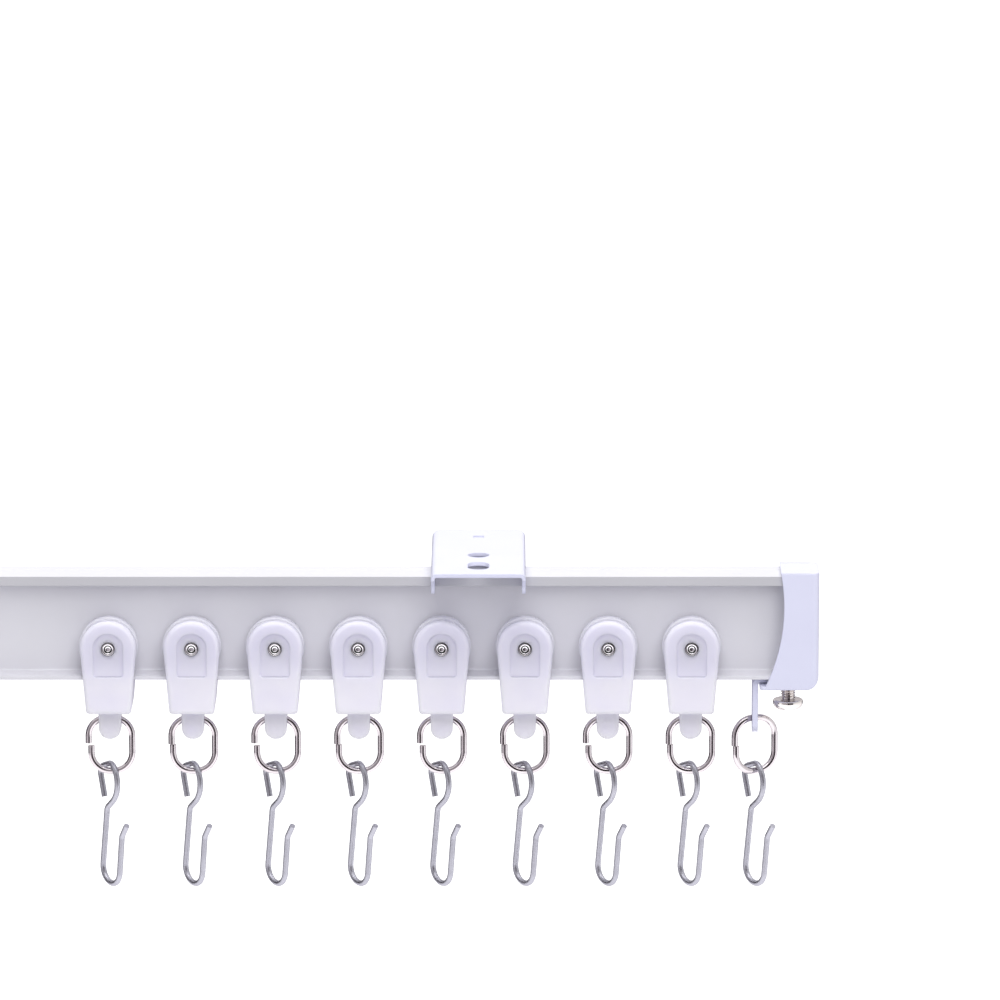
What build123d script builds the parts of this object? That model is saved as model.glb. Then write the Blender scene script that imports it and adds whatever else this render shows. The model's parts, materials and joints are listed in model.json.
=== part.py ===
from build123d import *
from math import acos, atan, atan2, cos, degrees, hypot, radians, sin, sqrt
import os

os.makedirs("parts", exist_ok=True)

# Millimetres. X runs along the rail, Y goes back from the viewer's side, Z is up.
# The origin is on the axis of the bracket's round screw hole, in the face that lies on the ceiling.

# Clearances
running_gap = 0.05
sliding_gap = 0.1
link_gap = 0.2
rail_to_plate_gap = 0.5

# Rail: an I-section with a thick head, a thin web and a tapered foot that the wheels run on
rail_height = 28.0
rail_width = 12.8
rail_web = 1.2
rail_head = 2.5
rail_foot_edge = 0.9
rail_foot_root = 1.4
rail_root_fillet = 0.4
tread_groove_count = 6
tread_groove_depth = 0.09
head_groove_depth = 0.15
head_groove_offset = 2.2

# Bracket: a folded sheet with two claws in front, screwed to the ceiling
bracket_sheet = 1.0
bracket_width = 25.0
bracket_front = 23.4
bracket_back = 31.6
bracket_corner = 3.0
bracket_fold = 1.5
bracket_to_rail = 3.5
screw_hole = 5.6
slot_length = 8.9
slot_place = -13.1
side_lip = 2.0
side_rear_depth = 4.9
claw_length = 5.9
claw_grip = 1.0
claw_thickness = 1.1
claw_round = 2.4

# Latch: a sliding plate under the bracket that hooks behind the rail's head
latch_sheet = 1.0
latch_width = 18.0
latch_back = 28.8
latch_hook_width = 12.0
latch_grip = 1.0
latch_tab_width = 2.4
latch_travel = 1.4
tab_hole_place = 22.6
lug_length = 4.0
lug_reach = 3.2

# Carrier: a moulded U that straddles the foot of the rail, with an eye below
carrier_count = 8
carrier_pitch = 22.1
first_carrier = -98.2
carrier_round = 7.45
carrier_foot_width = 11.9
carrier_drop = 17.8
carrier_plate = 2.5
carrier_edge_round = 1.1
carrier_corner = 0.9
bridge_gap = 0.7
recess_width = 7.9
recess_depth = 0.35
recess_top = 4.2
recess_bottom = 7.6
tongue_width = 6.2
tongue_end_round = 2.95
tongue_length = 8.4
tongue_depth = 4.8
tongue_edge_round = 0.5
eye_drop = 2.95

# Wheels on tubular rivets
wheel_radius = 7.5
wheel_tread = 4.6
wheel_hub_radius = 2.7
wheel_edge_round = 0.5
rivet_tube = 3.0
rivet_bore = 2.2
rivet_flange = 3.7
rivet_flange_thickness = 0.4
rivet_clinch = 0.3
rivet_to_web = 0.25

# Rings and hooks of round wire
ring_wire = 1.7
ring_width = 11.6
ring_height = 14.6
ring_bend = 5.0
wide_gap = 0.75
narrow_gap = 0.25
wide_inset = 0.7
narrow_inset = 0.4
hook_wire = 1.5
hook_turn = 55.0
hook_length = 31.5
hook_mouth = 8.3
hook_shank_lean = 1.5
hook_foot_round = 4.0
hook_leg_top = 17.2
hook_leg_lean = 0.5
hook_tip_run = 2.1
hook_tip_rise = 2.3
hook_tip_round = 2.5
hook_neck = 10.4
hook_neck_place = 0.5
hook_neck_round = 1.8
hook_loop_left = 4.2
hook_loop_low = 0.2
hook_loop_top = 2.28
hook_loop_top_place = 0.24
hook_loop_right = 7.3
hook_loop_right_drop = 4.0
hook_loop_round = 4.4
hook_end_place = 0.6
hook_end_drop = 7.8
hook_end_round = 2.2
end_ring_turn = 22.0

# End caps, their ring tongues and clamp screws
cap_sheet = 0.9
cap_fit = 0.1
cap_top_reach = 10.2
cap_wall_reach = 14.1
cap_floor_reach = 15.6
cap_edge_arc = 50.0
cap_end_round = 2.2
cap_floor_round = 3.5
cap_lip_round = 1.4
cap_seam = 0.2
cap_seam_stop = 2.4
end_tongue_sheet = 1.5
end_tongue_width = 6.5
end_tongue_bend = 0.7
cap_to_tongue_gap = 0.35
end_tongue_below_eye = 3.85
end_eye = 2.8
left_end = -155.0
right_end = 90.3
clamp_to_end = 7.9
clamp_thread = 4.0
clamp_head = 8.0
clamp_head_height = 2.6
clamp_stand_off = 4.1
clamp_recess = 4.4
clamp_recess_width = 1.0
clamp_recess_depth = 1.6

# Heights and depths that follow from the sizes above
rail_top = -bracket_sheet - bracket_to_rail
rail_bottom = rail_top - rail_height
head_bottom = rail_top - rail_head
rail_half = rail_width / 2
plate_inner = rail_half + rail_to_plate_gap
plate_outer = plate_inner + carrier_plate
wheel_inner = rail_web / 2 + rivet_to_web + rivet_clinch + running_gap
wheel_outer = wheel_inner + wheel_tread


def foot_surface(y):
    """Height of the foot's sloping top at a distance from the rail's middle."""
    fall = (rail_foot_root - rail_foot_edge) / (rail_half - rail_web / 2)
    return rail_bottom + rail_foot_root - fall * (y - rail_web / 2)


axle_height = foot_surface(wheel_inner) + running_gap + wheel_radius
carrier_bottom = axle_height - carrier_drop
eye_height = carrier_bottom - eye_drop
ring_bottom = eye_height - ring_height
cap_ceiling = rail_top + running_gap
cap_top = cap_ceiling + cap_sheet
cap_floor = rail_bottom - running_gap - end_tongue_sheet - link_gap
cap_bottom = cap_floor - cap_sheet
end_tongue_to_end = cap_floor_reach + cap_to_tongue_gap + end_tongue_sheet / 2
rail_left = left_end + cap_end_round
rail_right = right_end - cap_end_round


def save(shape, node):
    """Writes one node of the model."""
    export_step(shape, f"parts/{node}.step")


def tapered_end(radius, flat_half, reach):
    """A face with a round end about the origin and a flat end, joined by tangent sides."""
    swing = atan2(-reach, flat_half) + acos(radius / hypot(flat_half, reach))
    touch = (radius * cos(swing), radius * sin(swing))
    mirrored = (-touch[0], touch[1])
    outline = [
        Line((-flat_half, -reach), (flat_half, -reach)),
        Line((flat_half, -reach), touch),
        ThreePointArc(touch, (0, radius), mirrored),
        Line(mirrored, (-flat_half, -reach)),
    ]
    return make_face(outline)


def bent_wire(points, bends, thickness):
    """Round wire through the corner points, with one bend radius for each inner corner."""
    path = FilletPolyline(*points, radius=bends)
    start = Plane(origin=path @ 0, z_dir=path % 0)
    return sweep(start * Circle(thickness / 2), path=path)


# Rail
def rail_section():
    """The I-section in the YZ plane, with fine grooves along the treads and the head."""
    half = [
        (0, rail_top),
        (rail_half, rail_top),
        (rail_half, head_bottom),
        (rail_web / 2, head_bottom),
        (rail_web / 2, foot_surface(rail_web / 2)),
        (rail_half, foot_surface(rail_half)),
        (rail_half, rail_bottom),
        (0, rail_bottom),
    ]
    side = make_face(Polyline(*half, close=True))
    section = side + mirror(side, about=Plane.YZ)
    roots = section.vertices().filter_by(lambda v: abs(abs(v.X) - rail_web / 2) < running_gap)
    section = fillet(roots, rail_root_fillet)
    groove_side = tread_groove_depth * sqrt(2)
    tread_span = rail_half - rail_web / 2
    for step in range(1, tread_groove_count + 1):
        y = rail_web / 2 + tread_span * step / (tread_groove_count + 1)
        for sign in (-1, 1):
            section -= Pos(sign * y, foot_surface(y)) * Rectangle(groove_side, groove_side, 45)
    for sign in (-1, 1):
        place = Pos(sign * head_groove_offset, rail_top)
        section -= place * Rectangle(head_groove_depth * sqrt(2), head_groove_depth * sqrt(2), 45)
    return section


def make_rail():
    """The section drawn out from cap to cap."""
    return extrude(Plane.YZ.offset(rail_left) * rail_section(), rail_right - rail_left)


save(make_rail(), "rail")


# Bracket
def bracket_side():
    """Side outline: a lip, the claw round the front of the rail's head and a deep rear flange."""
    notch_front = -rail_half - sliding_gap
    claw_front = notch_front - claw_length
    ledge = head_bottom - sliding_gap
    claw_bottom = ledge - claw_thickness
    claw_tip = -rail_half + claw_grip
    rear_end = bracket_back - bracket_corner
    outline = [
        (-bracket_front, 0),
        (-bracket_front, -side_lip),
        (claw_front, -side_lip),
        (claw_front, claw_bottom),
        (claw_tip, claw_bottom),
        (claw_tip, ledge),
        (notch_front, ledge),
        (notch_front, rail_top),
        (rail_half + sliding_gap, rail_top),
        (rail_half + sliding_gap, -side_rear_depth),
        (rear_end, -side_rear_depth),
        (rear_end, -bracket_sheet),
        (bracket_back, -bracket_sheet),
        (bracket_back, 0),
    ]
    face = make_face(Polyline(*outline, close=True))
    lower_front = face.vertices().sort_by_distance((claw_front, claw_bottom))[0]
    face = fillet(lower_front, claw_round)
    rear_corner = face.vertices().sort_by_distance((rear_end, -side_rear_depth))[0]
    return fillet(rear_corner, bracket_corner)


def folded_section():
    """Section across the bracket: a top with both flanges folded down, round inside and outside."""
    outer = Pos(0, -bracket_width / 2) * Rectangle(bracket_width, bracket_width)
    outer = fillet(outer.vertices().group_by(Axis.Y)[-1], bracket_fold)
    inner_width = bracket_width - 2 * bracket_sheet
    inner = Pos(0, -bracket_sheet - bracket_width / 2) * Rectangle(inner_width, bracket_width)
    return outer - fillet(inner.vertices().group_by(Axis.Y)[-1], bracket_fold - bracket_sheet)


def make_bracket():
    """Folded sheet with its holes, two flanges with claws and two lugs that carry the latch."""
    length = bracket_front + bracket_back
    middle = (bracket_back - bracket_front) / 2
    folded = extrude(Plane.XZ.offset(bracket_front) * folded_section(), -length)
    side = extrude(Plane.YZ * bracket_side(), bracket_width, both=True)
    plan = Pos(0, middle) * Rectangle(bracket_width, length)
    plan = fillet(plan.vertices().group_by(Axis.Y)[-1], bracket_corner)
    body = folded & side & extrude(plan, -bracket_width)
    lug_top = -bracket_sheet - latch_sheet - 2 * sliding_gap
    lug = Box(lug_reach, lug_length, bracket_sheet)
    lug_x = bracket_width / 2 - bracket_sheet - lug_reach / 2
    for sign in (-1, 1):
        body += Pos(sign * lug_x, tab_hole_place, lug_top - bracket_sheet / 2) * lug
    holes = Circle(screw_hole / 2)
    holes += Pos(0, slot_place) * SlotOverall(slot_length, screw_hole, 90)
    tab_hole_length = latch_sheet + latch_travel + 2 * sliding_gap
    holes += Pos(0, tab_hole_place) * Rectangle(latch_tab_width + 2 * sliding_gap, tab_hole_length)
    return body - extrude(holes, -bracket_sheet)


def make_latch():
    """Plate with a tab in the bracket's rectangular hole and a hook under the back of the head."""
    top = -bracket_sheet - sliding_gap
    wall = rail_half + sliding_gap
    hook_bottom = head_bottom - sliding_gap - latch_sheet
    profile = [
        (latch_back, top),
        (wall, top),
        (wall, head_bottom - sliding_gap),
        (rail_half - latch_grip, head_bottom - sliding_gap),
        (rail_half - latch_grip, hook_bottom),
        (wall + latch_sheet, hook_bottom),
        (wall + latch_sheet, top - latch_sheet),
        (latch_back, top - latch_sheet),
    ]
    hook = extrude(Plane.YZ * make_face(Polyline(*profile, close=True)), latch_hook_width / 2, both=True)
    plate_length = latch_back - wall - latch_sheet
    plate_middle = (latch_back + wall + latch_sheet) / 2
    plate = Pos(0, plate_middle, top - latch_sheet / 2) * Box(latch_width, plate_length, latch_sheet)
    tab_place = tab_hole_place - latch_travel / 2
    tab_height = bracket_sheet + 2 * sliding_gap
    standing = (Align.CENTER, Align.CENTER, Align.MIN)
    tab = Box(latch_tab_width, latch_sheet, tab_height, align=standing)
    tab = Pos(0, tab_place, top - sliding_gap) * tab
    return hook + plate + tab


save(make_bracket(), "bracket")
save(make_latch(), "bracket_latch")


# Carriers
def carrier_outline():
    """Side outline of the plates, round at the wheel axle and tapering to the foot."""
    face = tapered_end(carrier_round, carrier_foot_width / 2, carrier_drop)
    corners = face.vertices().group_by(Axis.Y)[0]
    return fillet(corners, carrier_corner)


def carrier_tongue():
    """Flat tongue below the plates with a round end, rounded along its edges."""
    reach = tongue_length - tongue_end_round + bridge_gap
    face = Rot(0, 0, 180) * tapered_end(tongue_end_round, tongue_width / 2, reach)
    place = Plane.XZ * Pos(0, -carrier_drop - tongue_length + tongue_end_round)
    tongue = extrude(place * face, tongue_depth / 2, both=True)
    outer = tongue.faces().filter_by(Axis.Y).edges()
    return fillet(outer, tongue_edge_round)


def ring_eye():
    """Flared hole along X that the curved wire of the ring passes through as it swings."""
    wire_half = ring_wire / 2
    half = tongue_width / 2 + tongue_edge_round
    straight = ring_width / 2 - ring_bend
    bend_run = tongue_width / 2 - straight
    drop = ring_bend - sqrt((ring_bend - wire_half) ** 2 - bend_run**2)
    waist = wire_half + link_gap
    mouth = drop + link_gap
    slope = (mouth - waist) / bend_run
    end = waist + slope * (half - straight)
    profile = [(-half, 0), (-half, end), (-straight, waist), (straight, waist), (half, end), (half, 0)]
    flare = revolve(Plane.XZ * make_face(Polyline(*profile, close=True)), Axis.X)
    return Pos(0, 0, -carrier_drop - eye_drop) * flare


def make_carrier():
    """The U with its bridge under the rail, the tongue, the recesses and the rivet holes."""
    body = extrude(Plane.XZ * carrier_outline(), plate_outer, both=True)
    body = fillet(body.faces().filter_by(Axis.Y).edges(), carrier_edge_round)
    slot_floor = rail_bottom - bridge_gap - axle_height
    channel = Pos(0, 0, slot_floor) * Box(
        4 * carrier_round, 2 * plate_inner, 4 * carrier_round, align=(Align.CENTER, Align.CENTER, Align.MIN)
    )
    body -= channel
    body += carrier_tongue()
    recess_height = recess_top + recess_bottom
    recess_middle = (recess_top - recess_bottom) / 2
    arch_round = recess_width / 2 - running_gap
    arch = Pos(0, recess_middle) * RectangleRounded(recess_width, recess_height, arch_round)
    floor = Pos(0, recess_middle - recess_width / 4) * RectangleRounded(
        recess_width, recess_height - recess_width / 2, carrier_corner
    )
    hole = Cylinder(rivet_tube / 2 + running_gap, 2 * plate_outer, rotation=(90, 0, 0))
    for side in (-1, 1):
        pad = extrude(Plane.XZ * (arch + floor), recess_depth / 2, both=True)
        body -= Pos(0, side * (plate_outer - recess_depth / 2), 0) * pad
    return body - hole - ring_eye()


def make_wheel(side):
    """Wheel with a coned tread that fits the sloping foot and a hub that reaches the plate."""
    bore = rivet_tube / 2 + running_gap
    inner_radius = axle_height - foot_surface(wheel_inner) - running_gap
    outer_radius = axle_height - foot_surface(wheel_outer) - running_gap
    tread = make_face(
        Polyline(
            (wheel_inner, bore),
            (wheel_inner, inner_radius),
            (wheel_outer, outer_radius),
            (wheel_outer, wheel_hub_radius),
            (plate_inner - running_gap, wheel_hub_radius),
            (plate_inner - running_gap, bore),
            close=True,
        )
    )
    rims = tread.vertices().group_by(Axis.Y)[-2:]
    tread = fillet([v for group in rims for v in group], wheel_edge_round)
    wheel = revolve(Plane.YZ * tread, Axis.Y)
    return wheel if side > 0 else mirror(wheel, about=Plane.XZ)


def make_rivet(side):
    """Tube with a rolled flange in the recess outside and a clinched rim inside the wheel."""
    head_face = plate_outer - recess_depth
    tube_end = rail_web / 2 + rivet_to_web
    profile = [
        (tube_end, rivet_bore / 2),
        (tube_end, rivet_flange / 2),
        (tube_end + rivet_clinch, rivet_flange / 2),
        (tube_end + rivet_clinch, rivet_tube / 2),
        (head_face, rivet_tube / 2),
        (head_face, rivet_flange / 2),
        (head_face + rivet_flange_thickness, rivet_flange / 2),
        (head_face + rivet_flange_thickness, rivet_bore / 2),
    ]
    face = make_face(Polyline(*profile, close=True))
    rim = face.vertices().group_by(Axis.X)[-1]
    face = fillet(rim.sort_by(Axis.Y)[-1], rivet_flange_thickness * 0.75)
    rivet = revolve(Plane.YZ * face, Axis.Y)
    return rivet if side > 0 else mirror(rivet, about=Plane.XZ)


# Rings and hooks
def make_ring(gap, inset):
    """Oval wire ring hanging from the origin, cut on its left side, with the lower end set inwards."""
    left = -ring_width / 2
    right = ring_width / 2
    middle = -ring_height / 2
    points = [
        (left, 0, middle + gap / 2),
        (left, 0, 0),
        (right, 0, 0),
        (right, 0, -ring_height),
        (left + inset, 0, -ring_height),
        (left + inset, 0, middle - gap / 2),
    ]
    return bent_wire(points, ring_bend, ring_wire)


def make_hook():
    """Wire hook hanging from the origin: an open loop, a long shank and an upturned leg."""
    crown = ring_wire / 2 + hook_wire / 2 + link_gap
    shank_foot = hook_neck_place - hook_shank_lean
    leg_foot = shank_foot + hook_mouth
    leg_end = leg_foot + hook_leg_lean
    points = [
        (-hook_end_place, -hook_end_drop),
        (-hook_loop_left, -hook_loop_low),
        (hook_loop_top_place, hook_loop_top),
        (hook_loop_right, -hook_loop_right_drop),
        (hook_neck_place, -hook_neck),
        (shank_foot, -hook_length),
        (leg_foot, -hook_length),
        (leg_end, -hook_leg_top),
        (leg_end + hook_tip_run, hook_tip_rise - hook_leg_top),
    ]
    bends = [
        hook_end_round,
        crown,
        hook_loop_round,
        hook_neck_round,
        hook_foot_round,
        hook_foot_round,
        hook_tip_round,
    ]
    wire = bent_wire(points, bends, hook_wire)
    centre = wire.center()
    hanging = Rot(0, 0, degrees(atan(centre.X / centre.Y))) * wire
    across = (cos(radians(hook_turn)), -sin(radians(hook_turn)), 0)
    normal = (-sin(radians(hook_turn)), -cos(radians(hook_turn)), 0)
    return Plane(origin=(0, 0, 0), x_dir=across, z_dir=normal) * hanging


carrier = make_carrier()
hook = make_hook()
rings = [make_ring(wide_gap, wide_inset), make_ring(narrow_gap, narrow_inset)]

for index in range(carrier_count):
    number = index + 1
    x = first_carrier + index * carrier_pitch
    at_axle = Pos(x, 0, axle_height)
    save(at_axle * carrier, f"carrier_{number}_body")
    save(at_axle * make_wheel(-1), f"carrier_{number}_wheel_front")
    save(at_axle * make_wheel(1), f"carrier_{number}_wheel_back")
    save(Compound([at_axle * make_rivet(-1), at_axle * make_rivet(1)]), f"carrier_{number}_rivets")
    save(Pos(x, 0, eye_height) * rings[index % 2], f"carrier_{number}_ring")
    save(Pos(x, 0, ring_bottom) * hook, f"carrier_{number}_hook")


# Ends: modelled with the end face at X = 0 and the rail towards -X, then mirrored for the left end
def cap_side():
    """Side outline of a cap: hollow-curved free edges, a floor lip and a rounded outer corner."""
    outline = [
        RadiusArc((-cap_top_reach, cap_top), (-cap_wall_reach, cap_floor), cap_edge_arc),
        Line((-cap_wall_reach, cap_floor), (-cap_floor_reach, cap_floor)),
        Line((-cap_floor_reach, cap_floor), (-cap_floor_reach, cap_bottom)),
        Line((-cap_floor_reach, cap_bottom), (0, cap_bottom)),
        Line((0, cap_bottom), (0, cap_top)),
        Line((0, cap_top), (-cap_top_reach, cap_top)),
    ]
    face = make_face(outline)
    outer_corner = face.vertices().sort_by_distance((0, cap_bottom))[0]
    return fillet(outer_corner, cap_floor_round)


def cap_plan(inset, lip_round):
    """Plan outline of a cap, inset from its outside, with round corners at the end wall."""
    width = rail_width + 2 * (cap_fit + cap_sheet - inset)
    length = cap_floor_reach - inset
    plan = Pos(-inset - length / 2, 0) * Rectangle(length, width)
    plan = fillet(plan.vertices().group_by(Axis.X)[-1], cap_end_round - inset)
    return fillet(plan.vertices().group_by(Axis.X)[0], lip_round) if lip_round else plan


def make_cap():
    """Folded sheet cap: end wall, two curved side walls, a floor and a seamed top flap."""
    height = cap_top - cap_bottom
    outer_plan = extrude(Pos(0, 0, cap_bottom) * cap_plan(0, cap_lip_round), height)
    shell = extrude(Plane.XZ * cap_side(), rail_width, both=True) & outer_plan
    room = Pos(-cap_sheet - cap_floor_reach / 2, (cap_floor + cap_ceiling) / 2) * Rectangle(
        cap_floor_reach, cap_ceiling - cap_floor
    )
    floor_corner = room.vertices().sort_by_distance((-cap_sheet, cap_floor))[0]
    room = fillet(floor_corner, cap_floor_round - cap_sheet)
    inner_plan = extrude(Pos(0, 0, cap_bottom) * cap_plan(cap_sheet, 0), height)
    hollow = extrude(Plane.XZ * room, rail_width, both=True) & inner_plan
    seam = Box(cap_floor_reach, cap_seam, cap_sheet, align=(Align.MAX, Align.CENTER, Align.MIN))
    seam_offset = rail_half + cap_fit - cap_seam / 2
    screw_way = Cylinder(clamp_thread / 2 + running_gap, 3 * cap_sheet)
    cap = shell - hollow - Pos(-clamp_to_end, 0, cap_bottom) * screw_way
    for sign in (-1, 1):
        cap -= Pos(-cap_seam_stop, sign * seam_offset, cap_ceiling) * seam
    return cap


def make_end_tongue():
    """Strip clamped under the rail, bent down to carry the end ring in an eye."""
    arm_top = rail_bottom - running_gap
    drop_middle = -end_tongue_to_end
    inner = drop_middle + end_tongue_sheet / 2
    outer = drop_middle - end_tongue_sheet / 2
    bottom = eye_height - end_tongue_below_eye
    profile = make_face(
        Polyline(
            (-cap_floor_round, arm_top),
            (outer, arm_top),
            (outer, bottom),
            (inner, bottom),
            (inner, arm_top - end_tongue_sheet),
            (-cap_floor_round, arm_top - end_tongue_sheet),
            close=True,
        )
    )
    outer_bend = profile.vertices().sort_by_distance((outer, arm_top))[0]
    profile = fillet(outer_bend, end_tongue_bend + end_tongue_sheet)
    inner_bend = profile.vertices().sort_by_distance((inner, arm_top - end_tongue_sheet))[0]
    profile = fillet(inner_bend, end_tongue_bend)
    strip = extrude(Plane.XZ * profile, end_tongue_width / 2, both=True)
    foot = strip.edges().filter_by(Axis.X).group_by(Axis.Z)[0]
    strip = fillet(foot, end_tongue_width / 2 - running_gap)
    eye = Pos(drop_middle, 0, eye_height) * Cylinder(end_eye / 2, 3 * end_tongue_sheet, rotation=(0, 90, 0))
    return strip - eye


def make_clamp_screw():
    """Pan-head screw that comes up through the cap's floor and presses the strip to the rail."""
    tip = cap_floor + link_gap
    head_top = cap_bottom - clamp_stand_off
    head = Pos(0, 0, head_top - clamp_head_height / 2) * Cylinder(clamp_head / 2, clamp_head_height)
    rims = head.edges().filter_by(GeomType.CIRCLE).sort_by(Axis.Z)
    head = fillet(rims[0], clamp_head_height * 0.7)
    head = fillet(head.edges().filter_by(GeomType.CIRCLE).sort_by(Axis.Z)[-1], clamp_head_height * 0.2)
    shank = Pos(0, 0, (tip + head_top) / 2) * Cylinder(clamp_thread / 2, tip - head_top)
    blade = Box(clamp_recess, clamp_recess_width, 2 * clamp_recess_depth)
    cross = blade + Rot(0, 0, 90) * blade
    screw = head + shank - Pos(0, 0, head_top - clamp_head_height) * cross
    return Pos(-clamp_to_end, 0, 0) * screw


cap = make_cap()
tongue = make_end_tongue()
screw = make_clamp_screw()
to_right = Pos(right_end, 0, 0)
to_left = Pos(left_end, 0, 0)
ends = {"right": to_right, "left": to_left}
screws = []

for name, place in ends.items():
    turned = name == "left"
    save(place * (mirror(cap, about=Plane.YZ) if turned else cap), f"end_cap_{name}")
    save(place * (mirror(tongue, about=Plane.YZ) if turned else tongue), f"end_tongue_{name}")
    screws.append(place * (mirror(screw, about=Plane.YZ) if turned else screw))
    side = 1 if turned else -1
    x = place.position.X + side * end_tongue_to_end
    end_ring = Rot(0, 0, end_ring_turn) * rings[1]
    save(Pos(x, 0, eye_height) * end_ring, f"end_ring_{name}")
    save(Pos(x, 0, ring_bottom) * hook, f"end_hook_{name}")

save(Compound(screws), "clamp_screws")
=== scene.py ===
# %% [markdown]
# # A curtain track on its ceiling bracket
# The real object is a white metal rail with little wheeled carriers, wire rings and curtain hooks.
# Its shapes come from an engineering model, which this script loads and never moves.
# Blender's share is the paint, the nylon, the plating and the light, and three fine metal forms:
# the bent wire of the hooks, the cupped rivets and the threads of the screws.

# %% Load the model
import json
import math
import bpy
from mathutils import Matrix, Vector


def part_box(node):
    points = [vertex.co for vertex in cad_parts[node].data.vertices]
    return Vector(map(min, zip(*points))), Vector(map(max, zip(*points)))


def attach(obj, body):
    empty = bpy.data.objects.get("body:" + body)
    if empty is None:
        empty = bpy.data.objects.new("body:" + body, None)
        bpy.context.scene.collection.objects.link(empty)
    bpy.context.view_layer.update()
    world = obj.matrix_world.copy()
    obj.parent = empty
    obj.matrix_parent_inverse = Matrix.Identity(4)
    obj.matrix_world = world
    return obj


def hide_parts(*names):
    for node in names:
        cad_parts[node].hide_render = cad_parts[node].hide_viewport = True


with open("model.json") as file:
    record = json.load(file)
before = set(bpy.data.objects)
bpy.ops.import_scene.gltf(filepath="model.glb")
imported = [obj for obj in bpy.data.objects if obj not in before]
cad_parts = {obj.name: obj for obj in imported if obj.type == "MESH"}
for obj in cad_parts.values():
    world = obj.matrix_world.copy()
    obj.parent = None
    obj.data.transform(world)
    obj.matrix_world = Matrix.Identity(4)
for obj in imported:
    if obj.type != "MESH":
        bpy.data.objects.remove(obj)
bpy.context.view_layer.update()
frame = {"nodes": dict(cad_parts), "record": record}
nodes = frame["nodes"]
MM = 0.001
bpy.ops.object.select_all(action="DESELECT")

# %% [markdown]
# ## The camera
# The picture was taken from a little above, with a long lens, so the rail's two edges stay nearly parallel.
# A camera could be aimed with a constraint, but a fixed place and pitch are simpler to repeat.

# %% Camera
CAMERA_PLACE = Vector((5.7, -2072.7, 460.8)) * MM
CAMERA_PITCH = math.radians(12.14)
bpy.ops.object.camera_add(location=CAMERA_PLACE, rotation=(math.pi / 2 - CAMERA_PITCH, 0, 0))
camera = bpy.context.object
camera.name = "Camera"
camera.data.sensor_width = 36
camera.data.lens = 288
camera.data.clip_end = 50
bpy.context.scene.camera = camera
bpy.context.scene.view_settings.view_transform = "Standard"
print("camera", [round(v, 3) for v in camera.location], "lens", round(camera.data.lens, 1))

# %% [markdown]
# ## Helpers for materials
# A material is a small network of nodes. These helpers add a node with its settings and join two sockets,
# so that each recipe below reads as a list of steps.

# %% Node helpers
def add(tree, kind, **settings):
    """Adds a node. A setting named after an input sets that input, any other sets the node itself."""
    node = tree.nodes.new(kind)
    for name, value in settings.items():
        socket = node.inputs.get(name.replace("_", " "))
        if socket is not None:
            socket.default_value = value
        else:
            setattr(node, name, value)
    return node


def maths(tree, operation, first, second):
    """One sum on two values, each a number or an output socket."""
    node = add(tree, "ShaderNodeMath", operation=operation)
    for socket, value in zip(node.inputs, (first, second)):
        if isinstance(value, (int, float)):
            socket.default_value = value
        else:
            tree.links.new(value, socket)
    return node.outputs[0]


def new_group(name, inputs, outputs):
    """An empty shader group with named number inputs and outputs."""
    tree = bpy.data.node_groups.new(name, "ShaderNodeTree")
    for label, value in inputs.items():
        tree.interface.new_socket(label, in_out="INPUT", socket_type="NodeSocketFloat").default_value = value
    for label in outputs:
        tree.interface.new_socket(label, in_out="OUTPUT", socket_type="NodeSocketFloat")
    return tree, add(tree, "NodeGroupInput"), add(tree, "NodeGroupOutput")


def stretched_noise(tree, stretch, scale, detail=4.0):
    """Noise on the piece's own coordinates, squeezed or drawn out along each axis."""
    place = add(tree, "ShaderNodeTexCoord")
    mapping = add(tree, "ShaderNodeMapping", Scale=stretch)
    noise = add(tree, "ShaderNodeTexNoise", Detail=detail)
    tree.links.new(place.outputs["Object"], mapping.inputs["Vector"])
    tree.links.new(mapping.outputs[0], noise.inputs["Vector"])
    if isinstance(scale, (int, float)):
        noise.inputs["Scale"].default_value = scale
    else:
        tree.links.new(scale, noise.inputs["Scale"])
    return noise.outputs["Fac"]


# %% [markdown]
# ## Effects that several finishes share
# Paint is never quite even: it has a faint orange peel, a slow change of tone and dust in its film.
# Metal wire has scratches and small pits. Each effect is one group, placed in every material that needs it.

# %% Paint film group
film, film_in, film_out = new_group("PaintFilm", {"Peel": 900.0, "Cloud": 45.0}, ("Tone", "Gloss", "Height"))
peel = stretched_noise(film, (1, 1, 1), film_in.outputs["Peel"], 2.0)
cloud = stretched_noise(film, (1, 1, 1), film_in.outputs["Cloud"], 5.0)
dust = stretched_noise(film, (1, 1, 1), 2600.0, 1.0)
specks = maths(film, "GREATER_THAN", dust, 0.8)
dusty = maths(film, "SUBTRACT", cloud, maths(film, "MULTIPLY", specks, 0.12))
uneven = maths(film, "ADD", maths(film, "MULTIPLY", cloud, 0.6), maths(film, "MULTIPLY", peel, 0.4))
raised = maths(film, "ADD", peel, maths(film, "MULTIPLY", specks, 0.1))
film.links.new(dusty, film_out.inputs["Tone"])
film.links.new(uneven, film_out.inputs["Gloss"])
film.links.new(raised, film_out.inputs["Height"])
print("group", film.name)

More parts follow.
